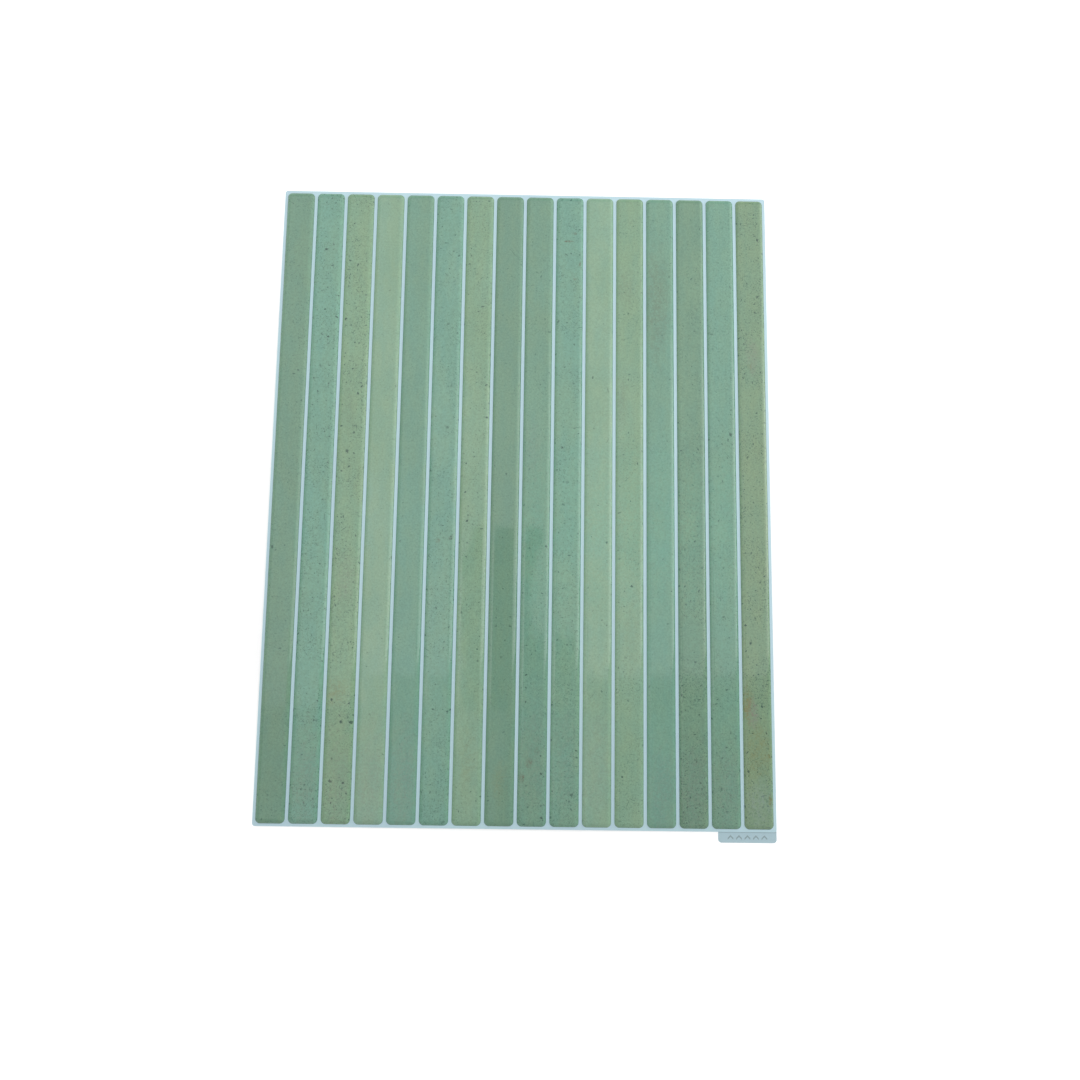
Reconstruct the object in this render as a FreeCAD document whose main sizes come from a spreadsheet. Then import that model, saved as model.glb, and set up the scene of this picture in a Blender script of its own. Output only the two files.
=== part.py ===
import FreeCAD, Part

import math
import os

import Sketcher

Vector = FreeCAD.Vector
UP = Vector(0, 0, 1)

# The sheet lies flat with its glazed strips upward. The origin is the centre
# of the sheet on the underside of its release liner. +X crosses the strips,
# +Y runs along them, away from the peel tab, and +Z points out of the glaze.

# Driving sizes, in millimetres apart from the count
SIZES = {
    "strip_count": 16,
    "strip_width": 12.7,
    "strip_length": 290.5,
    "joint_width": 1.5,
    "side_margin": 1.3,
    "end_margin": 1.2,
    "gel_height": 1.1,
    "foot_height": 0.12,
    "shoulder_width": 2.0,
    "crown_corner_radius": 0.1,
    "film_thickness": 0.25,
    "film_corner_radius": 1.2,
    "liner_thickness": 0.15,
    "tab_width": 25.5,
    "tab_reach": 4.6,
    "tab_corner_radius": 1.4,
}

# How far the shoulder's cutting section stands clear of the slab it trims
TRIM_OVERRUN = 0.5

# The sheet's half sizes follow from the strips, their joints and the margins
STRIP_PITCH = "(Sizes.strip_width + Sizes.joint_width)"
HALF_WIDTH = (
    f"((Sizes.strip_count * {STRIP_PITCH} - Sizes.joint_width) / 2 + Sizes.side_margin)"
)
HALF_LENGTH = "(Sizes.strip_length / 2 + Sizes.end_margin)"


def size_sheet(document):
    """Write the driving sizes to a spreadsheet, one alias to a cell."""
    sheet = document.addObject("Spreadsheet::Sheet", "Sizes")
    for row, (alias, value) in enumerate(SIZES.items(), start=1):
        sheet.set(f"A{row}", alias)
        sheet.set(f"B{row}", str(value))
        sheet.setAlias(f"B{row}", alias)
    document.recompute()
    return sheet


doc = FreeCAD.newDocument("BacksplashSheet")
sizes = size_sheet(doc)


def value_of(expression):
    """Work out an expression of the driving sizes as a plain number."""
    return float(sizes.evalExpression(expression))


def new_body(name, height):
    """Start a body whose underside lies at the given height."""
    body = doc.addObject("PartDesign::Body", name)
    body.Label = name
    body.setExpression("Placement.Base.z", height)
    return body


def new_sketch(body, name, role):
    """Start a sketch on one of the body's own origin planes."""
    sketch = body.newObject("Sketcher::SketchObject", name)
    plane = next(part for part in body.Origin.OriginFeatures if part.Role == role)
    sketch.AttachmentSupport = [(plane, "")]
    sketch.MapMode = "FlatFace"
    return sketch


def bind(sketch, kind, where, name, expression):
    """Add a dimension to a sketch and tie it to the driving sizes."""
    value = value_of(expression)
    index = sketch.addConstraint(Sketcher.Constraint(kind, *where, value))
    sketch.renameConstraint(index, name)
    sketch.setExpression(f"Constraints.{name}", expression)


def draw_outline(sketch, sides):
    """Draw a closed outline of square sides, anticlockwise.

    A side is (axis, place, radius): the axis whose coordinate it holds, that
    coordinate, and the radius of the corner at its far end, None if sharp.
    """
    corners = []
    for index, (axis, place, _) in enumerate(sides):
        beside = sides[(index + 1) % len(sides)][1]
        x, y = (place, beside) if axis == "x" else (beside, place)
        corners.append(Vector(value_of(x), value_of(y), 0))

    radii = [value_of(radius) if radius else 0.0 for _, _, radius in sides]
    headings = [(corners[i] - corners[i - 1]).normalize() for i in range(len(sides))]
    lines = []
    for index, (axis, place, _) in enumerate(sides):
        start = corners[index - 1] + headings[index] * radii[index - 1]
        end = corners[index] - headings[index] * radii[index]
        line = sketch.addGeometry(Part.LineSegment(start, end))
        upright = axis == "x"
        sketch.addConstraint(Sketcher.Constraint("Vertical" if upright else "Horizontal", line))
        kind = "DistanceX" if upright else "DistanceY"
        bind(sketch, kind, (-1, 1, line, 1), f"side_{index}", place)
        lines.append(line)

    for index, (_, _, radius) in enumerate(sides):
        line, following = lines[index], lines[(index + 1) % len(sides)]
        if not radius:
            sketch.addConstraint(Sketcher.Constraint("Coincident", line, 2, following, 1))
            continue
        turned = headings[(index + 1) % len(sides)]
        centre = corners[index] + (turned - headings[index]) * radii[index]
        begin = math.atan2(-turned.y, -turned.x)
        circle = Part.Circle(centre, UP, radii[index])
        arc = sketch.addGeometry(Part.ArcOfCircle(circle, begin, begin + math.pi / 2))
        sketch.addConstraint(Sketcher.Constraint("Tangent", line, 2, arc, 1))
        sketch.addConstraint(Sketcher.Constraint("Tangent", arc, 2, following, 1))
        bind(sketch, "Radius", (arc,), f"corner_{index}", radius)


def pad(body, sketch, thickness):
    """Raise a sketch into a slab."""
    slab = body.newObject("PartDesign::Pad", "slab")
    slab.Profile = sketch
    slab.setExpression("Length", thickness)
    return slab


def rectangle(half_width, half_length, radius):
    """Give the sides of a rectangle about the origin, all corners alike."""
    return [
        ("x", half_width, radius),
        ("y", half_length, radius),
        ("x", f"-{half_width}", radius),
        ("y", f"-{half_length}", radius),
    ]


def make_liner():
    """Release liner: the sheet's own outline, with a peel tab at one corner."""
    body = new_body("release_liner", "0")
    outline = new_sketch(body, "liner_outline", "XY_Plane")
    sheet_corner = "Sizes.film_corner_radius"
    tab_corner = "Sizes.tab_corner_radius"
    sides = [
        ("x", HALF_WIDTH, sheet_corner),
        ("y", HALF_LENGTH, sheet_corner),
        ("x", f"-{HALF_WIDTH}", sheet_corner),
        ("y", f"-{HALF_LENGTH}", None),
        ("x", f"{HALF_WIDTH} - Sizes.tab_width", tab_corner),
        ("y", f"-{HALF_LENGTH} - Sizes.tab_reach", tab_corner),
    ]
    draw_outline(outline, sides)
    pad(body, outline, "Sizes.liner_thickness")
    return body


def make_film():
    """Adhesive-backed film: it carries every strip and shows in the joints."""
    body = new_body("printed_film", "Sizes.liner_thickness")
    outline = new_sketch(body, "film_outline", "XY_Plane")
    draw_outline(outline, rectangle(HALF_WIDTH, HALF_LENGTH, "Sizes.film_corner_radius"))
    pad(body, outline, "Sizes.film_thickness")
    return body


def draw_shoulder(sketch):
    """Draw what the shoulder takes off the slab, seen along the strip.

    The cast gel leaves its flat crown level and rounds down to a low upright
    foot, as one arc. The rest of the section only closes it, clear outside.
    """
    edge = "Sizes.strip_width / 2"
    crown = "Sizes.strip_width / 2 - Sizes.shoulder_width"
    foot = Vector(value_of(edge), value_of("Sizes.foot_height"), 0)
    brow = Vector(value_of(crown), value_of("Sizes.gel_height"), 0)
    fall = brow.y - foot.y
    reach = foot.x - brow.x
    radius = (reach * reach + fall * fall) / (2 * fall)
    centre = Vector(brow.x, brow.y - radius, 0)
    begin = math.atan2(foot.y - centre.y, reach)
    circle = Part.Circle(centre, UP, radius)
    arc = sketch.addGeometry(Part.ArcOfCircle(circle, begin, math.pi / 2))

    above = Vector(brow.x, brow.y + TRIM_OVERRUN, 0)
    outer = Vector(foot.x + TRIM_OVERRUN, above.y, 0)
    beside = Vector(outer.x, foot.y, 0)
    rise = sketch.addGeometry(Part.LineSegment(brow, above))
    top = sketch.addGeometry(Part.LineSegment(above, outer))
    drop = sketch.addGeometry(Part.LineSegment(outer, beside))
    back = sketch.addGeometry(Part.LineSegment(beside, foot))

    sketch.addConstraint(Sketcher.Constraint("Coincident", arc, 2, rise, 1))
    sketch.addConstraint(Sketcher.Constraint("Coincident", rise, 2, top, 1))
    sketch.addConstraint(Sketcher.Constraint("Coincident", top, 2, drop, 1))
    sketch.addConstraint(Sketcher.Constraint("Coincident", drop, 2, back, 1))
    sketch.addConstraint(Sketcher.Constraint("Coincident", back, 2, arc, 1))
    for line in (rise, drop):
        sketch.addConstraint(Sketcher.Constraint("Vertical", line))
    for line in (top, back):
        sketch.addConstraint(Sketcher.Constraint("Horizontal", line))
    # With its centre straight below the brow, the arc leaves the crown level
    sketch.addConstraint(Sketcher.Constraint("Vertical", arc, 3, arc, 2))

    bind(sketch, "DistanceX", (-1, 1, arc, 1), "edge", edge)
    bind(sketch, "DistanceY", (-1, 1, arc, 1), "foot", "Sizes.foot_height")
    bind(sketch, "DistanceX", (-1, 1, arc, 2), "brow", crown)
    bind(sketch, "DistanceY", (-1, 1, arc, 2), "crown", "Sizes.gel_height")
    bind(sketch, "DistanceX", (-1, 1, drop, 1), "outer", f"{edge} + {TRIM_OVERRUN}")
    bind(sketch, "DistanceY", (-1, 1, drop, 1), "above", f"Sizes.gel_height + {TRIM_OVERRUN}")


def make_strip(number):
    """One cast gel strip, in its place in the row, counted from -X."""
    body = new_body(f"gel_strip_{number:02d}", "Sizes.liner_thickness + Sizes.film_thickness")
    place = f"({number} - (Sizes.strip_count + 1) / 2) * {STRIP_PITCH}"
    body.setExpression("Placement.Base.x", place)

    outline = new_sketch(body, f"strip_outline_{number:02d}", "XY_Plane")
    half_width = "(Sizes.strip_width / 2)"
    half_length = "(Sizes.strip_length / 2)"
    corner = "Sizes.shoulder_width + Sizes.crown_corner_radius"
    draw_outline(outline, rectangle(half_width, half_length, corner))
    slab = pad(body, outline, "Sizes.gel_height")
    doc.recompute()

    section = new_sketch(body, f"shoulder_section_{number:02d}", "XZ_Plane")
    draw_shoulder(section)
    shoulder = body.newObject("PartDesign::SubtractivePipe", "shoulder")
    shoulder.Profile = section
    shoulder.Spine = (outline, [])
    doc.recompute()
    if not shoulder.Shape.Volume < slab.Shape.Volume:
        raise RuntimeError(f"{body.Label}: the shoulder took nothing off the slab")
    return body


def check_model(bodies):
    """Stop if anything in the document failed or a body isn't one solid."""
    for item in doc.Objects:
        if "Invalid" in item.State or "Error" in item.State:
            raise RuntimeError(f"{item.Label} failed: {item.State}")
    for body in bodies:
        shape = body.Shape
        if shape.isNull() or not shape.isValid() or len(shape.Solids) != 1:
            raise RuntimeError(f"{body.Label} isn't one valid solid")


def write_parts(bodies):
    """Write each body to a STEP file of its own name."""
    os.makedirs("parts", exist_ok=True)
    for body in bodies:
        body.Shape.exportStep(f"parts/{body.Label}.step")


strip_total = round(value_of("Sizes.strip_count"))
pieces = [make_liner(), make_film()]
pieces += [make_strip(number) for number in range(1, strip_total + 1)]
doc.recompute()
check_model(pieces)
write_parts(pieces)

for piece in pieces:
    box = piece.Shape.BoundBox
    span = f"{box.XLength:.2f} x {box.YLength:.2f} x {box.ZLength:.2f} mm"
    print(f"{piece.Label}: {span}, {piece.Shape.Volume:.1f} mm3")
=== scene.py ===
import math

import bmesh
import bpy
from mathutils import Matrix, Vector


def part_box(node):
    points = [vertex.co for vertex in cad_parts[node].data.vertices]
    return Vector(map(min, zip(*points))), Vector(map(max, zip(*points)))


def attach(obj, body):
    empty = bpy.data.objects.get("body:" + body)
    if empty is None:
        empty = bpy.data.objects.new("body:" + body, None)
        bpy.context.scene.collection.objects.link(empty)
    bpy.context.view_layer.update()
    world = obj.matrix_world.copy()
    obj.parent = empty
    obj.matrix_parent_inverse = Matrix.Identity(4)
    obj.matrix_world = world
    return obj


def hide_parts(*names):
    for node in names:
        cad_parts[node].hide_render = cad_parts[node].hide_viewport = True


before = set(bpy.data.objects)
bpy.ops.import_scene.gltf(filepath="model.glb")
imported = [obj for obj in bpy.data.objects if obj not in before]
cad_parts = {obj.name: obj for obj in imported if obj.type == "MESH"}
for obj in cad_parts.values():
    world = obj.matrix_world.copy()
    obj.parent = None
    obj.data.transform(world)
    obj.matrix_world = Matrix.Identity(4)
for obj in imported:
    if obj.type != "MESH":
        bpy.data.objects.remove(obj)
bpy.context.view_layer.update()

MM = 0.001
STRIP_COUNT = 16

# The strip's section and plan, in millimetres, as the solids have them, and
# the steps of its curves
FOOT_HEIGHT = 0.12
GEL_HEIGHT = 1.1
SHOULDER_WIDTH = 2.0
CORNER_RADIUS = 2.1
CORNER_STEPS = 14
SHOULDER_STEPS = 14
CROWN_LIP = 0.05

# The camera, fitted to the sheet's edges and joints in the photograph: its
# place in millimetres and its turn in degrees
PHOTO_WIDTH = 1080
FOCAL_PIXELS = 900
SENSOR_WIDTH = 36.0
CAMERA_PLACE = (5.83, -72.22, 404.99)
CAMERA_TURN = (7.431, -0.576, 0.796)

# Tones of the glaze print, as linear colours
TONES = {
    "fern": (0.125, 0.253, 0.168),
    "jade": (0.128, 0.285, 0.207),
    "celery": (0.163, 0.289, 0.177),
    "sage": (0.196, 0.336, 0.231),
    "moss": (0.113, 0.231, 0.152),
    "olive": (0.156, 0.250, 0.139),
}

# Casts that shade those tones, the inks of the marks on them, and painted light
MINT_CAST = (0.93, 0.982, 1.012)
STRAW_CAST = (1.06, 1.018, 0.988)
SPECK_INK = (0.006, 0.045, 0.030)
BARK_INK = (0.090, 0.095, 0.055)
MOSS_INK = (0.168, 0.176, 0.066)
WASH_INK = (0.200, 0.285, 0.235)
TAN_INK = (0.190, 0.175, 0.150)
# A brighter mint for painted reflection, not an ink of the print
MINT_PAINTED_REFLECTION = (0.130, 0.420, 0.290)
RUST_INK = (0.130, 0.128, 0.035)
# Painted light: a paler rim that stands in for the light the clear gel gathers at its edges and
# for the shade its shoulders cast on themselves
RIM_PAINTED_LIGHT = (1.14, 1.14, 1.13)

# The film that shows in the joints, and the paper of the liner and its tab
FILM_TINT = (0.445, 0.625, 0.680)
FILM_LILAC = (0.435, 0.598, 0.672)
LINER_TINT = (0.365, 0.500, 0.550)
# The liner's ink prints the tab's arrowheads and also paints the shadow line at the film's edge
LINER_INK_AND_SHADOW = (0.20, 0.27, 0.28)

# Each strip's ground tone, the tone it drifts towards, the share of that tone
# at its head and at its foot, and how freckled its head and its foot are
STRIPS = (
    ("fern", "moss", 0.45, 0.65, 0.40, 0.25),
    ("jade", "fern", 0.05, 0.20, 0.75, 0.70),
    ("celery", "olive", 0.10, 0.10, 0.90, 0.70),
    ("sage", "celery", 0.45, 0.10, 0.03, 0.12),
    ("jade", "fern", 0.75, 0.10, 0.12, 0.06),
    ("jade", "sage", 0.05, 0.20, 0.50, 0.60),
    ("celery", "sage", 0.05, 0.60, 0.55, 0.30),
    ("moss", "fern", 0.50, 0.60, 0.20, 0.15),
    ("fern", "jade", 0.10, 0.50, 0.25, 0.45),
    ("jade", "celery", 0.10, 0.30, 0.65, 0.60),
    ("sage", "celery", 0.45, 0.05, 0.03, 0.15),
    ("celery", "sage", 0.05, 0.45, 0.35, 0.42),
    ("jade", "fern", 0.60, 0.05, 0.25, 0.02),
    ("moss", "celery", 0.25, 0.00, 0.30, 0.90),
    ("fern", "jade", 0.80, 0.30, 0.45, 0.55),
    ("olive", "fern", 0.40, 0.05, 0.90, 0.90),
)

# Strips whose print is a little paler than its tones, and by how much
PALER = {1: 1.02, 2: 1.05, 3: 1.05, 16: 1.015}

# The layers of flecks: seed, cell and size in millimetres, and stretch, then
# the share of cells that hold one and its strength, each for a bare strip and
# how much a freckled one has more
FLECK_LAYERS = (
    (20.0, 0.75, 0.34, 2.5, 0.20, 0.50, 0.17, 0.40),
    (40.0, 2.10, 0.46, 1.4, 0.03, 0.40, 0.45, 0.50),
    (60.0, 7.00, 0.70, 0.8, 0.02, 0.40, 0.85, 0.15),
    (70.0, 30.0, 1.00, 0.7, 0.00, 0.25, 0.90, 0.10),
    (80.0, 6.00, 0.21, 14.0, 0.03, 0.35, 0.40, 0.35),
)

# Stains of the print: the strip, the place on it across and along from its
# centre, and the reach each way, all in millimetres, then the ink and strength
STAINS = (
    (16, (-4.3, -92.5), (2.9, 10.0), MOSS_INK, 0.80),
    (16, (-2.0, -95.5), (2.8, 8.5), TAN_INK, 0.60),
    (16, (0.0, -112.0), (7.5, 14.0), MOSS_INK, 0.40),
    (16, (0.5, 68.0), (4.0, 12.0), TAN_INK, 0.30),
    (16, (-1.1, 63.0), (1.5, 2.4), RUST_INK, 0.40),
    (16, (0.0, -135.0), (9.0, 14.0), WASH_INK, 0.50),
    (16, (4.8, -114.5), (1.3, 1.6), RUST_INK, 0.75),
    (16, (5.0, -132.5), (1.1, 2.6), RUST_INK, 0.85),
    (3, (-1.5, -88.5), (5.5, 7.0), MOSS_INK, 0.48),
    (3, (0.5, -38.0), (5.5, 14.0), TAN_INK, 0.22),
    (3, (-1.5, 40.0), (3.5, 14.0), BARK_INK, 0.18),
    (6, (4.4, -19.0), (1.6, 1.1), BARK_INK, 0.60),
    (6, (-1.4, -20.5), (1.8, 1.3), BARK_INK, 0.50),
    (9, (-4.3, -124.5), (1.5, 2.3), BARK_INK, 0.70),
    (9, (-1.5, -118.0), (1.7, 2.8), BARK_INK, 0.52),
    (9, (2.0, -112.5), (1.7, 2.4), BARK_INK, 0.36),
    (7, (0.0, -118.0), (4.5, 16.0), MOSS_INK, 0.20),
    (8, (0.0, -126.0), (4.0, 10.0), MOSS_INK, 0.22),
    (10, (2.2, 127.0), (1.5, 1.1), BARK_INK, 0.65),
    (10, (-0.7, 123.0), (2.5, 0.7), BARK_INK, 0.85),
    (10, (4.8, 112.0), (0.7, 1.7), BARK_INK, 0.70),
    (10, (2.6, 104.5), (1.5, 1.1), BARK_INK, 0.40),
    (12, (0.5, -62.0), (4.5, 18.0), MOSS_INK, 0.16),
    (12, (-1.5, 100.0), (5.5, 11.0), BARK_INK, 0.20),
    (12, (-3.5, 46.0), (3.5, 14.0), BARK_INK, 0.20),
    (13, (-1.5, 93.0), (6.5, 36.0), BARK_INK, 0.32),
    (9, (-1.5, 24.0), (5.0, 18.0), TAN_INK, 0.16),
)

# The largest flecks: the strip, the place on it and the reach, in millimetres
SPOTS = (
    (3, (-1.3, 20.0), 1.25),
    (3, (1.2, 32.0), 0.8),
    (3, (1.3, 29.0), 0.7),
    (3, (-3.7, -92.0), 0.8),
    (3, (2.2, -93.0), 0.8),
    (3, (0.9, -101.5), 0.9),
    (6, (1.3, 32.0), 1.0),
    (6, (4.4, -19.0), 1.1),
    (6, (4.9, -96.5), 1.0),
    (7, (5.2, 37.0), 0.7),
    (10, (-2.5, 23.5), 1.0),
    (10, (5.2, -115.5), 0.8),
    (10, (3.1, -131.5), 1.0),
    (12, (-1.8, -72.0), 0.8),
    (12, (-3.1, -123.5), 0.65),
    (16, (3.1, 97.0), 0.9),
    (16, (-2.8, -64.5), 0.9),
)
SPOT_STRENGTH = 0.85

# Broad clouds over the strips' colour: the first and last strip that they cross,
# the middle and the reach along them in millimetres, the colour and the strength.
# Across, they reach past the edges of every strip. The tan ones make strips 2 to 5,
# 9 to 11 and 13 to 15 tanner and greyer near their feet; the mint one is painted
# reflection, a brighter mint that stands in for the reflections on strips 9 to 15.
CLOUDS = (
    (1, 1, -105.0, 70.0, BARK_INK, 0.08),
    (2, 5, -128.0, 36.0, TAN_INK, 0.20),
    (9, 11, -118.0, 34.0, TAN_INK, 0.15),
    (13, 15, -132.0, 30.0, TAN_INK, 0.17),
    # Painted reflection: a brighter mint over the middle of strips 9 to 15, for the mean colour of
    # their reflections
    (9, 15, -16.0, 56.0, MINT_PAINTED_REFLECTION, 0.17),
)
CLOUD_SPREAD = 9.0


# Short calls for building shader nodes


def add(tree, kind, **settings):
    """Add a node and set its own properties."""
    node = tree.nodes.new(kind)
    for name, value in settings.items():
        setattr(node, name, value)
    return node


def give(tree, socket, value):
    """Link one input to an output, or set it to a value."""
    if isinstance(value, bpy.types.NodeSocket):
        tree.links.new(value, socket)
    elif socket.type == "RGBA":
        socket.default_value = (*value, 1.0)
    else:
        socket.default_value = value


def feed(tree, node, **inputs):
    """Set or link a node's inputs by name, with _ for a space."""
    for name, value in inputs.items():
        give(tree, node.inputs[name.replace("_", " ")], value)
    return node


def fill(tree, node, *values):
    """Set or link a node's inputs in their order."""
    for socket, value in zip(node.inputs, values):
        give(tree, socket, value)
    return node


def sums(tree, operation, *values, clamp=False):
    """One step of arithmetic on numbers."""
    node = add(tree, "ShaderNodeMath", operation=operation, use_clamp=clamp)
    return fill(tree, node, *values).outputs[0]


def vectors(tree, operation, *values):
    """One step of arithmetic on vectors."""
    node = add(tree, "ShaderNodeVectorMath", operation=operation)
    fill(tree, node, *values)
    return node.outputs["Value" if operation == "LENGTH" else "Vector"]


def split(tree, place):
    """Take a place apart into its coordinates."""
    return fill(tree, add(tree, "ShaderNodeSeparateXYZ"), place).outputs


def joined(tree, x, y):
    """Put a level place together from its coordinates."""
    return fill(tree, add(tree, "ShaderNodeCombineXYZ"), x, y, 0.0).outputs[0]


def ramp(tree, value, low, high, to_low=0.0, to_high=1.0):
    """Ease a value from one range to another, without going past its ends."""
    node = add(tree, "ShaderNodeMapRange", interpolation_type="SMOOTHSTEP")
    return fill(tree, node, value, low, high, to_low, to_high).outputs[0]


def blend_colour(tree, share, first, second, mode="MIX"):
    """Mix two colours by a share."""
    node = add(tree, "ShaderNodeMix", data_type="RGBA", blend_type=mode)
    colours = [socket for socket in node.inputs if socket.type == "RGBA"]
    for socket, value in zip((node.inputs[0], *colours), (share, first, second)):
        give(tree, socket, value)
    return next(socket for socket in node.outputs if socket.type == "RGBA")


def even_colour(tree, value):
    """Make a grey of a value, to shade a colour with."""
    node = add(tree, "ShaderNodeCombineColor")
    return fill(tree, node, value, value, value).outputs[0]


def noise(tree, place, seed, size, detail=2.0, roughness=0.5):
    """Cloudy noise of a given size, its own for each seed."""
    node = add(tree, "ShaderNodeTexNoise", noise_dimensions="4D")
    feed(tree, node, Vector=place, W=seed, Scale=1.0 / size, Detail=detail, Roughness=roughness)
    return node.outputs


def wander(tree, texture):
    """Turn a noise's colour into a push either way from where a place is."""
    return vectors(tree, "SUBTRACT", texture["Color"], (0.5, 0.5, 0.5))


def relief(tree, height, depth):
    """Make the surface's normal from a height, its depth in millimetres."""
    bump = add(tree, "ShaderNodeBump")
    return feed(tree, bump, Strength=1.0, Distance=depth * MM, Height=height).outputs[0]


def new_group(name, inputs, outputs):
    """Start a node group with named sockets, and give its two end nodes."""
    group = bpy.data.node_groups.new(name, "ShaderNodeTree")
    for label, kind, value in inputs:
        socket = group.interface.new_socket(label, in_out="INPUT", socket_type=f"NodeSocket{kind}")
        socket.default_value = value
    for label, kind in outputs:
        group.interface.new_socket(label, in_out="OUTPUT", socket_type=f"NodeSocket{kind}")
    return group, group.nodes.new("NodeGroupInput"), group.nodes.new("NodeGroupOutput")


def place_group(tree, group, **inputs):
    """Put a node group in a material and feed it."""
    node = add(tree, "ShaderNodeGroup", node_tree=group)
    return feed(tree, node, **inputs).outputs


# Effects that the materials share. Places and sizes are in millimetres.

# The mottle's layers: stretch, size, detail and roughness of the noise, and
# the levels of it that read as 0 and as 1
MOTTLE_LAYERS = {
    "Cloud": ((1.0, 0.4, 0.0), 26.0, 2.0, 0.5, (0.34, 0.66)),
    "Blotch": ((1.0, 0.4, 0.0), 5.5, 3.0, 0.6, (0.32, 0.68)),
    "Grain": ((1.0, 1.0, 1.0), 0.8, 3.0, 0.7, (0.30, 0.70)),
}

# The flecks: how far each seed moves them, the factors that deal a cell's lots
# once more, the noise that bites their rim and how deep it bites, where the rim
# starts and ends, and the size and strength of the least against the most
SEED_STEPS = (17.3, 5.9)
DEAL_AGAIN = (13.7, 9.1)
RAGGED_SIZE = 0.40
RAGGED_BITE = 1.6
FLECK_RIM = (0.60, 0.90)
SMALLEST_FLECK = 0.25
FAINTEST_FLECK = 0.35

# The stains: seed, size, detail and roughness of the noise that frays them and
# of the noise that breaks them up, how far they fray, how far they break up,
# and where their rim starts and ends
FRAY_NOISE = (3.0, 2.2, 3.0, 0.6)
PATCH_NOISE = (5.0, 0.9, 3.0, 0.7)
FRAY_REACH = 1.6
PATCH_RANGE = (0.40, 0.60, 0.25, 1.2)
STAIN_RIM = (0.15, 1.15)


def mottle_group():
    """Slow clouds, blotches and fine grain, as on a printed glaze."""
    group, given, out = new_group(
        "mottle",
        [("Place", "Vector", (0, 0, 0)), ("Seed", "Float", 0.0)],
        [(layer, "Float") for layer in MOTTLE_LAYERS],
    )
    for layer, (stretch, size, detail, roughness, levels) in MOTTLE_LAYERS.items():
        drawn_out = vectors(group, "MULTIPLY", given.outputs["Place"], stretch)
        texture = noise(group, drawn_out, given.outputs["Seed"], size, detail, roughness)
        give(group, out.inputs[layer], ramp(group, texture[0], *levels))
    return group


def flecks_group():
    """Scattered ragged flecks, each with its own size, turn and strength."""
    group, given, out = new_group(
        "flecks",
        [
            ("Place", "Vector", (0, 0, 0)),
            ("Seed", "Float", 0.0),
            ("Cell", "Float", 2.0),
            ("Size", "Float", 0.3),
            ("Stretch", "Float", 1.0),
            ("Share", "Float", 0.4),
        ],
        [("Mask", "Float")],
    )
    seed, size = given.outputs["Seed"], given.outputs["Size"]
    shift = joined(group, *(sums(group, "MULTIPLY", seed, step) for step in SEED_STEPS))
    moved = vectors(group, "ADD", given.outputs["Place"], shift)
    ragged = noise(group, moved, seed, RAGGED_SIZE)
    sway = joined(group, size, size)
    wandered = vectors(group, "MULTIPLY_ADD", wander(group, ragged), sway, moved)

    cells = add(group, "ShaderNodeTexVoronoi", voronoi_dimensions="2D")
    scale = sums(group, "DIVIDE", 1.0, given.outputs["Cell"])
    feed(group, cells, Vector=wandered, Scale=scale, Randomness=1.0)
    lots = fill(group, add(group, "ShaderNodeSeparateColor"), cells.outputs["Color"]).outputs
    first, second, third = lots[0], lots[1], lots[2]
    fourth, fifth = (
        sums(group, "FRACT", sums(group, "MULTIPLY", lot, factor))
        for lot, factor in zip((first, second), DEAL_AGAIN)
    )

    offset = vectors(group, "SUBTRACT", wandered, cells.outputs["Position"])
    turned = add(group, "ShaderNodeVectorRotate", rotation_type="Z_AXIS")
    feed(group, turned, Vector=offset, Angle=sums(group, "MULTIPLY", third, math.pi))
    lengthened = sums(group, "MULTIPLY_ADD", fourth, given.outputs["Stretch"], 1.0)
    slimmed = joined(group, sums(group, "DIVIDE", 1.0, lengthened), 1.0)
    away = vectors(group, "LENGTH", vectors(group, "MULTIPLY", turned.outputs[0], slimmed))
    seldom = sums(group, "POWER", second, 2.0)
    odds = sums(group, "MULTIPLY_ADD", seldom, 1.0 - SMALLEST_FLECK, SMALLEST_FLECK)
    rim = sums(group, "DIVIDE", away, sums(group, "MULTIPLY", size, odds))
    evened = sums(group, "ADD", rim, -RAGGED_BITE / 2)
    bitten = sums(group, "MULTIPLY_ADD", ragged[0], RAGGED_BITE, evened)
    shape = ramp(group, bitten, *FLECK_RIM, 1.0, 0.0)

    present = sums(group, "LESS_THAN", first, given.outputs["Share"])
    strength = sums(group, "MULTIPLY_ADD", fifth, 1.0 - FAINTEST_FLECK, FAINTEST_FLECK)
    mask = sums(group, "MULTIPLY", sums(group, "MULTIPLY", shape, present), strength)
    give(group, out.inputs["Mask"], mask)
    return group


def stain_group():
    """One soft, uneven stain about a spot."""
    group, given, out = new_group(
        "stain",
        [
            ("Place", "Vector", (0, 0, 0)),
            ("Spot", "Vector", (0, 0, 0)),
            ("Reach", "Vector", (1, 1, 1)),
        ],
        [("Mask", "Float")],
    )
    place = given.outputs["Place"]
    offset = vectors(group, "SUBTRACT", place, given.outputs["Spot"])
    scaled = vectors(group, "DIVIDE", offset, given.outputs["Reach"])
    level = vectors(group, "MULTIPLY", scaled, (1, 1, 0))
    push = wander(group, noise(group, place, *FRAY_NOISE))
    frayed = vectors(group, "MULTIPLY_ADD", push, (FRAY_REACH, FRAY_REACH, 0.0), level)
    solid = ramp(group, vectors(group, "LENGTH", frayed), *STAIN_RIM, 1.0, 0.0)
    patchy = ramp(group, noise(group, place, *PATCH_NOISE)[0], *PATCH_RANGE)
    give(group, out.inputs["Mask"], sums(group, "MULTIPLY", solid, patchy))
    return group


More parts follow.
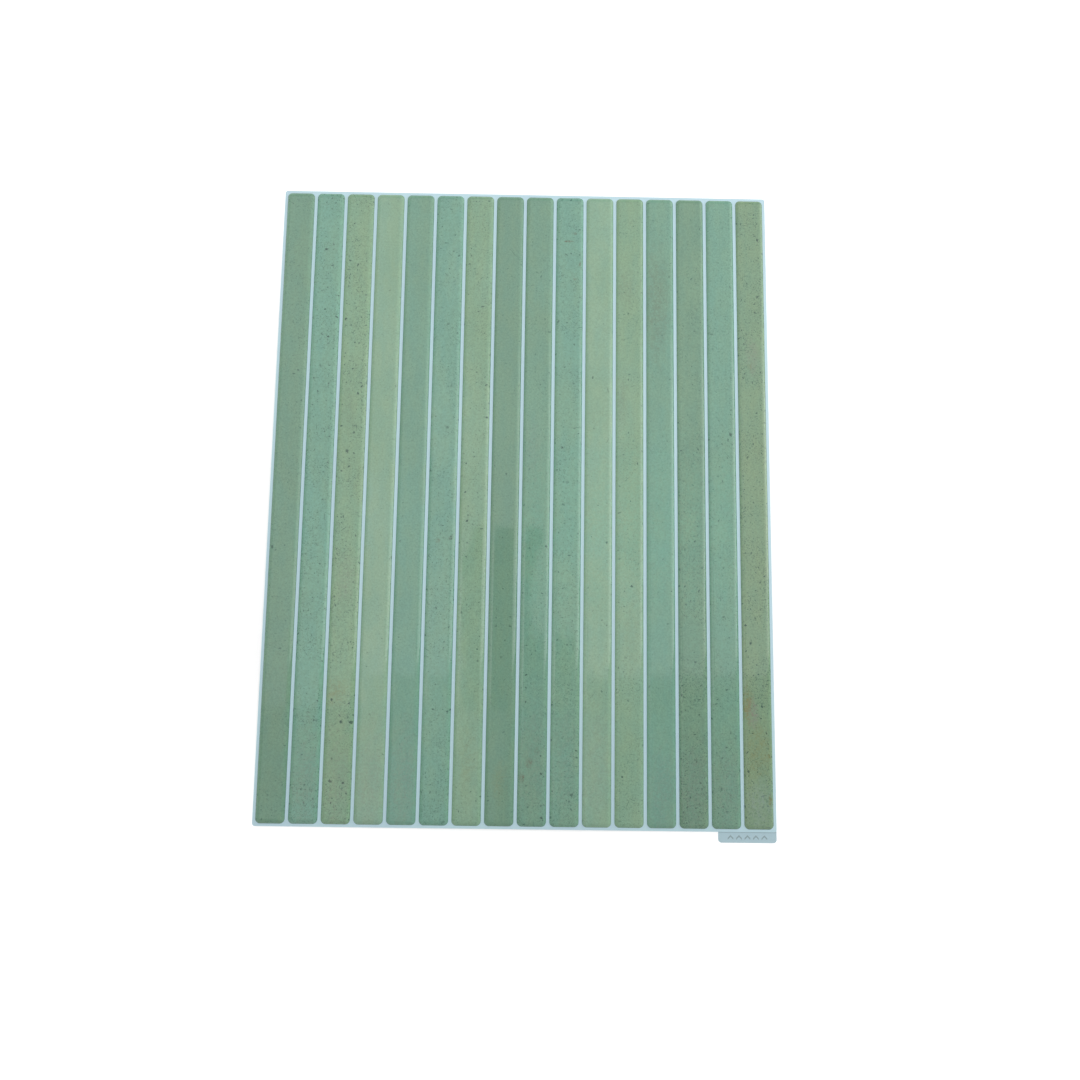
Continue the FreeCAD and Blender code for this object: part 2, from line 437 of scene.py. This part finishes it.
def edge_group():
    """Distance inwards from the edge of a rectangle with round corners."""
    group, given, out = new_group(
        "edge distance",
        [
            ("Place", "Vector", (0, 0, 0)),
            ("Half Size", "Vector", (0, 0, 0)),
            ("Corner", "Float", CORNER_RADIUS),
        ],
        [("Distance", "Float")],
    )
    corner = given.outputs["Corner"]
    level = vectors(group, "MULTIPLY", given.outputs["Place"], (1, 1, 0))
    core = vectors(group, "SUBTRACT", given.outputs["Half Size"], corner)
    past = split(group, vectors(group, "SUBTRACT", vectors(group, "ABSOLUTE", level), core))
    beyond = joined(group, *(sums(group, "MAXIMUM", past[axis], 0.0) for axis in (0, 1)))
    within = sums(group, "MINIMUM", sums(group, "MAXIMUM", past[0], past[1]), 0.0)
    spent = sums(group, "ADD", vectors(group, "LENGTH", beyond), within)
    give(group, out.inputs["Distance"], sums(group, "SUBTRACT", corner, spent))
    return group


MOTTLE = mottle_group()
FLECKS = flecks_group()
STAIN = stain_group()
EDGE = edge_group()


# The glaze: how far its clouds and its grain swing, how its flecks crowd, and
# how far in the rim's painted light reaches
CLOUD_SWING = 0.5
GRAIN_SWING = 0.19
GRAIN_MORE = 0.10
DRIFT_SIZE = 18.0
CROWDING = (0.36, 0.64, 0.25, 1.75)
RIM_PAINTED_LIGHT_REACH = 2.2

# The gel's face: roughness, and the size and height of its waves
GEL_ROUGHNESS = (0.05, 0.08)
WAVE_SIZE = 45.0
WAVE_HEIGHT = 0.80
RIPPLE_SIZE = 10.0
RIPPLE_HEIGHT = 0.07

# The film and the liner: seed, roughness and depth of the grain, then the
# liner's own play of tone, the painted shadow line that the film's edge casts
# at the tab's root, and the tab's print
FILM_SEED = 71.0
FILM_ROUGHNESS = (0.32, 0.44)
FILM_GRAIN = 0.010
LINER_SEED = 83.0
LINER_ROUGHNESS = (0.45, 0.58)
LINER_GRAIN = 0.020
LINER_PALER = 1.05
SHADOW_LINE_WIDTH = 0.30
SHADOW_LINE_STRENGTH = 0.45
MARK_STRENGTH = 0.8

# The peel tab and the arrowheads printed on it, in millimetres
TAB_WIDTH = 25.5
CHEVRON_COUNT = 5
CHEVRON_PITCH = 3.7
CHEVRON_ARM = 1.25
CHEVRON_SLOPE = 1.0
CHEVRON_TOP = 0.60
CHEVRON_STROKE = 0.80


def new_material(name):
    """Start a material, and give its tree, shader and place in millimetres."""
    material = bpy.data.materials.new(name)
    material.use_nodes = True
    tree = material.node_tree
    coordinates = add(tree, "ShaderNodeTexCoord")
    mapping = add(tree, "ShaderNodeMapping")
    feed(tree, mapping, Vector=coordinates.outputs["Object"], Scale=(1 / MM, 1 / MM, 1 / MM))
    return material, tree, tree.nodes["Principled BSDF"], mapping


def shaded(tone, level):
    """Lighten or darken a tone."""
    return tuple(channel * level for channel in tone)


def along_strip(tree, place, half_length, at_foot, at_head):
    """Ease a value from a strip's foot to its head."""
    return ramp(tree, split(tree, place)[1], -half_length, half_length, at_foot, at_head)


def ground_colour(tree, number, place, half_length, marks):
    """The strip's ground tone, drifting into its second one under a changing cast."""
    ground, drift, head_share, foot_share = STRIPS[number - 1][:4]
    lengthwise = along_strip(tree, place, half_length, foot_share, head_share)
    cloud = sums(tree, "MULTIPLY_ADD", marks["Cloud"], CLOUD_SWING, -CLOUD_SWING / 2)
    share = sums(tree, "ADD", lengthwise, cloud, clamp=True)
    tones = [shaded(TONES[tone], PALER.get(number, 1.0)) for tone in (ground, drift)]
    cast = blend_colour(tree, marks["Blotch"], MINT_CAST, STRAW_CAST)
    return blend_colour(tree, 1.0, blend_colour(tree, share, *tones), cast, "MULTIPLY")


def add_grain(tree, colour, grain, freckled):
    """Stir a colour with fine grain, more so where it is freckled."""
    swing = sums(tree, "MULTIPLY_ADD", freckled, GRAIN_MORE, GRAIN_SWING)
    shade = sums(tree, "MULTIPLY_ADD", sums(tree, "ADD", grain, -0.5), swing, 1.0)
    return blend_colour(tree, 1.0, colour, even_colour(tree, shade), "MULTIPLY")


def add_flecks(tree, colour, number, place, freckled):
    """Scatter the layers of flecks over a colour, more where it is freckled."""
    drifts = noise(tree, place, float(number), DRIFT_SIZE, detail=1.0)
    crowding = ramp(tree, drifts[0], *CROWDING)
    for kind, cell, size, stretch, share, more_share, strength, more_strength in FLECK_LAYERS:
        usual = sums(tree, "MULTIPLY_ADD", freckled, more_share, share)
        flecks = place_group(
            tree,
            FLECKS,
            Place=place,
            Seed=number + kind,
            Cell=cell,
            Size=size,
            Stretch=stretch,
            Share=sums(tree, "MULTIPLY", usual, crowding),
        )
        depth = sums(tree, "MULTIPLY_ADD", freckled, more_strength, strength)
        mask = sums(tree, "MULTIPLY", flecks["Mask"], depth)
        colour = blend_colour(tree, mask, colour, SPECK_INK)
    return colour


def add_marks(tree, colour, number, place):
    """Lay a strip's stains, its share of the clouds and its spots over a colour."""
    stains = [stain[1:] for stain in STAINS if stain[0] == number]
    # The clouds are laid like stains; the mint one among them is painted reflection
    for first, last, middle, reach, ink, strength in CLOUDS:
        if first <= number <= last:
            stains.append(((0.0, middle), (CLOUD_SPREAD, reach), ink, strength))
    for strip, spot, reach in SPOTS:
        if strip == number:
            stains.append((spot, (reach, reach), SPECK_INK, SPOT_STRENGTH))
    for spot, reach, ink, strength in stains:
        stain = place_group(tree, STAIN, Place=place, Spot=(*spot, 0), Reach=(*reach, 1))
        mask = sums(tree, "MULTIPLY", stain["Mask"], strength)
        colour = blend_colour(tree, mask, colour, ink)
    return colour


def glaze_material(number, low, high):
    """The print of one strip, seen through its clear gel."""
    material, tree, shader, mapping = new_material(f"glaze_{number:02d}")
    centre = (low + high) / 2
    half_size = (high - low) / (2 * MM)
    mapping.inputs["Location"].default_value = (-centre.x / MM, -centre.y / MM, 0)
    place = mapping.outputs[0]

    marks = place_group(tree, MOTTLE, Place=place, Seed=float(number))
    head_freckles, foot_freckles = STRIPS[number - 1][4:]
    freckled = along_strip(tree, place, half_size.y, foot_freckles, head_freckles)
    colour = ground_colour(tree, number, place, half_size.y, marks)
    colour = add_grain(tree, colour, marks["Grain"], freckled)
    colour = add_flecks(tree, colour, number, place, freckled)
    colour = add_marks(tree, colour, number, place)

    # Painted light: the print is made paler towards the rim, for the light the clear gel gathers
    # at its edges
    inward = place_group(tree, EDGE, Place=place, Half_Size=(half_size.x, half_size.y, 0))
    rim = ramp(tree, inward["Distance"], RIM_PAINTED_LIGHT_REACH, 0.0)
    rim_painted_light = blend_colour(tree, rim, (1, 1, 1), RIM_PAINTED_LIGHT)
    colour = blend_colour(tree, 1.0, colour, rim_painted_light, "MULTIPLY")

    # The gel's face is glossy and slightly wavy
    roughness = ramp(tree, marks["Cloud"], 0.0, 1.0, *GEL_ROUGHNESS)
    waves = noise(tree, place, float(number), WAVE_SIZE, detail=0.0)
    ripples = noise(tree, place, float(number), RIPPLE_SIZE, detail=1.0)
    height = sums(tree, "MULTIPLY_ADD", ripples[0], RIPPLE_HEIGHT / WAVE_HEIGHT, waves[0])
    normal = relief(tree, height, WAVE_HEIGHT)
    feed(tree, shader, Base_Color=colour, Roughness=roughness, Normal=normal)
    return material


def film_material():
    """Pale vinyl film, satin, with a slow play of its tint."""
    material, tree, shader, mapping = new_material("pale_film")
    marks = place_group(tree, MOTTLE, Place=mapping.outputs[0], Seed=FILM_SEED)
    colour = blend_colour(tree, marks["Cloud"], FILM_TINT, FILM_LILAC)
    roughness = ramp(tree, marks["Grain"], 0.0, 1.0, *FILM_ROUGHNESS)
    normal = relief(tree, marks["Grain"], FILM_GRAIN)
    feed(tree, shader, Base_Color=colour, Roughness=roughness, Normal=normal)
    return material


def chevron_marks(tree, place, middle):
    """Plain arrowheads along the peel tab, that point to the sheet: 1 in the ink."""
    spread = split(tree, vectors(tree, "SUBTRACT", place, middle))
    across, along = spread[0], spread[1]
    within = sums(tree, "COMPARE", across, 0.0, CHEVRON_COUNT * CHEVRON_PITCH / 2)
    step = sums(tree, "WRAP", across, CHEVRON_PITCH / 2, -CHEVRON_PITCH / 2)
    aside = sums(tree, "ABSOLUTE", step)
    fall = sums(tree, "MULTIPLY_ADD", aside, CHEVRON_SLOPE, along)
    line = sums(tree, "COMPARE", fall, CHEVRON_TOP, CHEVRON_STROKE / 2)
    arm = sums(tree, "LESS_THAN", aside, CHEVRON_ARM)
    return sums(tree, "MULTIPLY", sums(tree, "MULTIPLY", within, line), arm)


def liner_material():
    """Siliconised paper, smooth, with a faint fibre, marks on its tab and a painted shadow line at
    the film's edge.
    """
    material, tree, shader, mapping = new_material("liner_paper")
    place = mapping.outputs[0]
    low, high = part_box("release_liner")
    film_low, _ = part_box("printed_film")
    middle = Vector((high.x / MM - TAB_WIDTH / 2, (low.y + film_low.y) / (2 * MM), 0))
    marks = place_group(tree, MOTTLE, Place=place, Seed=LINER_SEED)
    colour = blend_colour(tree, marks["Grain"], LINER_TINT, shaded(LINER_TINT, LINER_PALER))
    ink = sums(tree, "MULTIPLY", chevron_marks(tree, place, middle), MARK_STRENGTH)
    colour = blend_colour(tree, ink, colour, LINER_INK_AND_SHADOW)
    # Painted shadow: a thin dark line on the liner just past the film's edge, where the film would
    # shade it
    root = film_low.y / MM - SHADOW_LINE_WIDTH / 2
    painted_shadow_line = sums(tree, "COMPARE", split(tree, place)[1], root, SHADOW_LINE_WIDTH / 2)
    colour = blend_colour(tree, sums(tree, "MULTIPLY", painted_shadow_line, SHADOW_LINE_STRENGTH), colour, LINER_INK_AND_SHADOW)
    roughness = ramp(tree, marks["Cloud"], 0.0, 1.0, *LINER_ROUGHNESS)
    normal = relief(tree, marks["Grain"], LINER_GRAIN)
    feed(tree, shader, Base_Color=colour, Roughness=roughness, Normal=normal)
    return material


# The domed strips


def finish_piece(mesh, name, material):
    """Turn a bmesh into a smooth piece with a material."""
    bmesh.ops.recalc_face_normals(mesh, faces=mesh.faces)
    data = bpy.data.meshes.new(name)
    mesh.to_mesh(data)
    mesh.free()
    data.shade_smooth()
    data.materials.append(material)
    piece = bpy.data.objects.new(name, data)
    bpy.context.scene.collection.objects.link(piece)
    return piece


def shoulder_steps():
    """Inward and upward steps of the shoulder's arc, from foot to crown."""
    fall = GEL_HEIGHT - FOOT_HEIGHT
    radius = (SHOULDER_WIDTH**2 + fall**2) / (2 * fall)
    steepest = math.asin(SHOULDER_WIDTH / radius)
    points = []
    for step in range(SHOULDER_STEPS + 1):
        lean = steepest * (1 - step / SHOULDER_STEPS)
        points.append((radius * math.sin(lean), radius * math.cos(lean)))
    return [(a[0] - b[0], b[1] - a[1]) for a, b in zip(points, points[1:])]


def domed_strip(number):
    """One cast gel strip: a rounded outline, a low foot, a shoulder and a level crown."""
    node = f"gel_strip_{number:02d}"
    low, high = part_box(node)
    centre = (low + high) / 2
    mesh = bmesh.new()
    bmesh.ops.create_grid(mesh, x_segments=1, y_segments=1, size=0.5)
    bmesh.ops.scale(mesh, vec=(high.x - low.x, high.y - low.y, 1), verts=mesh.verts)
    bmesh.ops.translate(mesh, vec=(centre.x, centre.y, low.z), verts=mesh.verts)
    bmesh.ops.bevel(
        mesh,
        geom=mesh.verts[:],
        offset=CORNER_RADIUS * MM,
        offset_type="OFFSET",
        affect="VERTICES",
        segments=CORNER_STEPS,
        profile=0.5,
        material=-1,
    )
    raised = bmesh.ops.extrude_face_region(mesh, geom=mesh.faces[:], use_keep_orig=True)["geom"]
    top = next(item for item in raised if isinstance(item, bmesh.types.BMFace))
    bmesh.ops.translate(mesh, vec=(0, 0, FOOT_HEIGHT * MM), verts=top.verts[:])
    top.normal_update()
    for inward, upward in shoulder_steps() + [(CROWN_LIP, 0.0)]:
        bmesh.ops.inset_region(
            mesh,
            faces=[top],
            thickness=inward * MM,
            depth=upward * MM,
            use_boundary=True,
            use_even_offset=True,
        )
    piece = finish_piece(mesh, f"domed_strip_{number:02d}", glaze_material(number, low, high))
    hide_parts(node)
    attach(piece, "root")


for number in range(1, STRIP_COUNT + 1):
    domed_strip(number)


def dress(node, material):
    """Give a solid of the frame its finish."""
    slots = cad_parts[node].data.materials
    slots.clear()
    slots.append(material)


dress("printed_film", film_material())
dress("release_liner", liner_material())


# The stage: a white floor, a plain world, and soft panels overhead and at the
# sides. Its places and sizes are in metres.

# The floor lies just under the sheet. Its fill is low near the sheet, to keep
# the shadow, and higher farther out.
FLOOR_SIZE = 12.0
FLOOR_DROP = 0.02 * MM
FLOOR_TINT = 0.80
FLOOR_FILL = 0.23
FLOOR_FILL_AWAY = 0.72
FADE_START = 0.13
FADE_END = 0.26

# The world's strength as a light, the height of the panels overhead, the height
# at which the leaning ones end, and the nearest distance the camera sees
WORLD_LIGHT = 0.4245
LIGHT_HEIGHT = 0.70
LIGHT_FOOT = 0.03
CLIP_START = 0.01

# The softbox overhead is built about an opening over the camera
SOFTBOX_LEFT = -0.600
SOFTBOX_RIGHT = 0.350
SOFTBOX_FOOT = -0.100
OPENING_LEFT = -0.076
OPENING_RIGHT = 0.014
OPENING_HEAD = 0.091
OPENING_STEP = -0.040
SOFTBOX_LEVEL = 1.25

# The panels in front of the softbox: their foot, the edges where they meet,
# and their level
FRONT_FOOT = -0.280
FRONT_SIDE = -0.190
FRONT_SIDE_HEAD = -0.143
FRONT_MIDDLE = -0.020
FRONT_LEVEL = 0.60

# The panels overhead, which the gel mirrors: left and right edge, foot and
# head edge, and level
LEVEL_PANELS = {
    "softbox_head": (SOFTBOX_LEFT, SOFTBOX_RIGHT, OPENING_HEAD, 0.560, SOFTBOX_LEVEL),
    "softbox_left": (SOFTBOX_LEFT, OPENING_LEFT, SOFTBOX_FOOT, OPENING_HEAD, SOFTBOX_LEVEL),
    "softbox_right": (OPENING_RIGHT, SOFTBOX_RIGHT, OPENING_STEP, OPENING_HEAD, SOFTBOX_LEVEL),
    "softbox_right_foot": (0.066, SOFTBOX_RIGHT, SOFTBOX_FOOT, OPENING_STEP, SOFTBOX_LEVEL),
    "softbox_heel": (SOFTBOX_LEFT, FRONT_SIDE, FRONT_SIDE_HEAD, SOFTBOX_FOOT, SOFTBOX_LEVEL),
    "front_left_side": (-0.500, FRONT_SIDE, FRONT_FOOT, FRONT_SIDE_HEAD, FRONT_LEVEL),
    "front_left": (FRONT_SIDE, OPENING_LEFT, FRONT_FOOT, SOFTBOX_FOOT, FRONT_LEVEL),
    "front_middle": (OPENING_LEFT, FRONT_MIDDLE, FRONT_FOOT, -0.145, FRONT_LEVEL),
    "front_right": (FRONT_MIDDLE, 0.420, FRONT_FOOT, SOFTBOX_FOOT, 0.22),
}

# The panels that lean at the sides: the middles of a top edge and a foot edge,
# the length of those edges, and the level
LEANING_PANELS = {
    "window_head": ((0.35, 0.1275, LIGHT_HEIGHT), (0.67, 0.1275, 0.42), 0.425, 1.9),
    "window_foot": ((0.67, 0.135, 0.42), (0.885, 0.135, 0.225), 0.41, 2.8),
    "window_sill": ((0.885, 0.185, 0.225), (1.10, 0.185, LIGHT_FOOT), 0.31, 4.6),
    "right_head": ((0.35, 0.64, LIGHT_HEIGHT), (0.67, 0.64, 0.42), 0.60, 1.2),
    "right_foot": ((0.67, 0.64, 0.42), (1.10, 0.64, LIGHT_FOOT), 0.60, 1.8),
    "left_panel": ((-0.60, 0.30, LIGHT_HEIGHT), (-1.05, 0.30, LIGHT_FOOT), 0.90, 0.5),
    "back_panel": ((-0.125, 0.56, LIGHT_HEIGHT), (-0.125, 1.10, LIGHT_FOOT), 0.95, 0.15),
}


def seen_rays(tree):
    """Share of the rays that show the background itself: 1 or 0."""
    path = add(tree, "ShaderNodeLightPath")
    rays = path.outputs["Is Camera Ray"]
    for name in ("Is Glossy Ray", "Is Transmission Ray"):
        rays = sums(tree, "MAXIMUM", rays, path.outputs[name])
    return rays


def make_floor():
    """A wide white floor that keeps the sheet's own soft shadow."""
    mesh = bmesh.new()
    bmesh.ops.create_grid(mesh, x_segments=1, y_segments=1, size=FLOOR_SIZE / 2)
    bmesh.ops.translate(mesh, vec=(0, 0, -FLOOR_DROP), verts=mesh.verts)
    material = bpy.data.materials.new("floor_white")
    material.use_nodes = True
    tree = material.node_tree
    tree.nodes.clear()
    matte = add(tree, "ShaderNodeBsdfDiffuse")
    feed(tree, matte, Color=(FLOOR_TINT, FLOOR_TINT, FLOOR_TINT))
    coordinates = add(tree, "ShaderNodeTexCoord")
    away = vectors(tree, "LENGTH", coordinates.outputs["Object"])
    fill_light = ramp(tree, away, FADE_START, FADE_END, FLOOR_FILL, FLOOR_FILL_AWAY)
    glow = add(tree, "ShaderNodeEmission")
    feed(tree, glow, Strength=sums(tree, "MULTIPLY", seen_rays(tree), fill_light))
    both = add(tree, "ShaderNodeAddShader")
    fill(tree, both, matte.outputs[0], glow.outputs[0])
    output = add(tree, "ShaderNodeOutputMaterial")
    feed(tree, output, Surface=both.outputs[0])
    floor = finish_piece(mesh, "floor", material)


def make_world():
    """Plain white surroundings, dimmer as a light than as they look."""
    world = bpy.data.worlds.new("plain_world")
    bpy.context.scene.world = world
    world.use_nodes = True
    tree = world.node_tree
    strength = ramp(tree, seen_rays(tree), 0.0, 1.0, WORLD_LIGHT, 1.0)
    feed(tree, tree.nodes["Background"], Color=(1, 1, 1), Strength=strength)


def make_panel(name, place, size, level, facing):
    """One soft panel of light, out of sight, that the gel mirrors."""
    light = bpy.data.lights.new(name, "AREA")
    light.shape = "RECTANGLE"
    light.size, light.size_y = size
    light.energy = level * math.pi * size[0] * size[1]
    holder = bpy.data.objects.new(name, light)
    holder.location = place
    holder.rotation_euler = facing.to_track_quat("-Z", "Y").to_euler()
    holder.visible_camera = False
    bpy.context.scene.collection.objects.link(holder)


def make_level_panel(name, left, right, foot, head, level):
    """A panel overhead, between its four edges, facing down."""
    place = ((left + right) / 2, (foot + head) / 2, LIGHT_HEIGHT)
    make_panel(name, place, (right - left, head - foot), level, Vector((0, 0, -1)))


def make_leaning_panel(name, top, foot, span, level):
    """A panel beside the sheet, from its top edge to its foot, facing inwards."""
    top, foot = Vector(top), Vector(foot)
    slope = foot - top
    sideways = slope.cross(Vector((0, 0, 1)))
    make_panel(name, (top + foot) / 2, (span, slope.length), level, slope.cross(sideways))


def make_lights():
    """The panels overhead and the leaning panels around them."""
    for name, settings in LEVEL_PANELS.items():
        make_level_panel(name, *settings)
    for name, settings in LEANING_PANELS.items():
        make_leaning_panel(name, *settings)


def make_camera():
    """The photograph's own viewpoint, over the sheet and near its lower half."""
    data = bpy.data.cameras.new("camera")
    data.sensor_width = SENSOR_WIDTH
    data.lens = FOCAL_PIXELS * SENSOR_WIDTH / PHOTO_WIDTH
    data.clip_start = CLIP_START
    camera = bpy.data.objects.new("camera", data)
    camera.location = Vector(CAMERA_PLACE) * MM
    camera.rotation_euler = [math.radians(angle) for angle in CAMERA_TURN]
    bpy.context.scene.collection.objects.link(camera)
    bpy.context.scene.camera = camera


make_floor()
make_world()
make_lights()
make_camera()
bpy.context.scene.view_settings.view_transform = "Standard"
